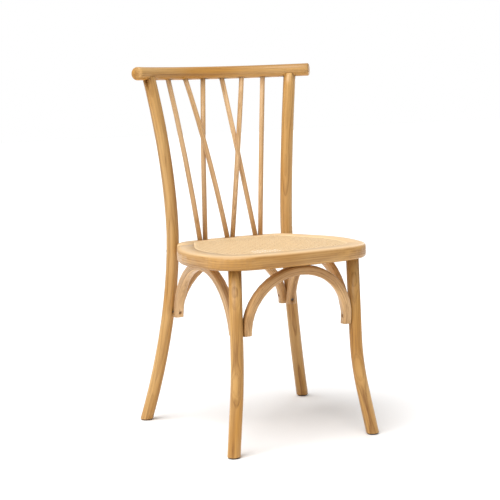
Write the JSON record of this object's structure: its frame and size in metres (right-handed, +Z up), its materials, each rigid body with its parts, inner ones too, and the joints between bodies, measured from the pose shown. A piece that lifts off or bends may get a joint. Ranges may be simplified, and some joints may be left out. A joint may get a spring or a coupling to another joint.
{
  "type": "cross back dining chair",
  "caption": "Wooden dining chair with crossed spindles in a bent back, a rounded cane seat and bentwood hoops between flared legs.",
  "frame": {"origin": "on the floor, in the middle of the chair's outline seen from above", "axes": "+X to the right seen from the front, +Y from the front of the seat to the back, +Z up"},
  "size_m": [0.4884, 0.4879, 0.886],
  "materials": {
    "oak": "clear satin lacquer",
    "cane": "natural rattan cane",
    "steel": "dark zinc plated",
    "glide": "black moulded"
  },
  "bodies": {
    "root": {"crest_rail": "oak", "rear_leg_left": "oak", "rear_leg_right": "oak", "front_leg_left": "oak", "front_leg_right": "oak", "spindle_outer_left": "oak", "spindle_inner_left": "oak", "spindle_middle_left": "oak", "spindle_middle_right": "oak", "spindle_inner_right": "oak", "spindle_outer_right": "oak", "seat_frame_bow": "oak", "seat_frame_back": "oak", "seat_frame_dowels": "oak", "cane_panel": "cane", "cane_spline": "cane", "hoop_front": "oak", "hoop_back": "oak", "hoop_left": "oak", "hoop_right": "oak", "hoop_leg_screws": "steel", "hoop_seat_screws": "steel", "seat_bolts": "steel", "barrel_nuts": "steel", "foot_glides": "glide"}
  },
  "joints": []
}
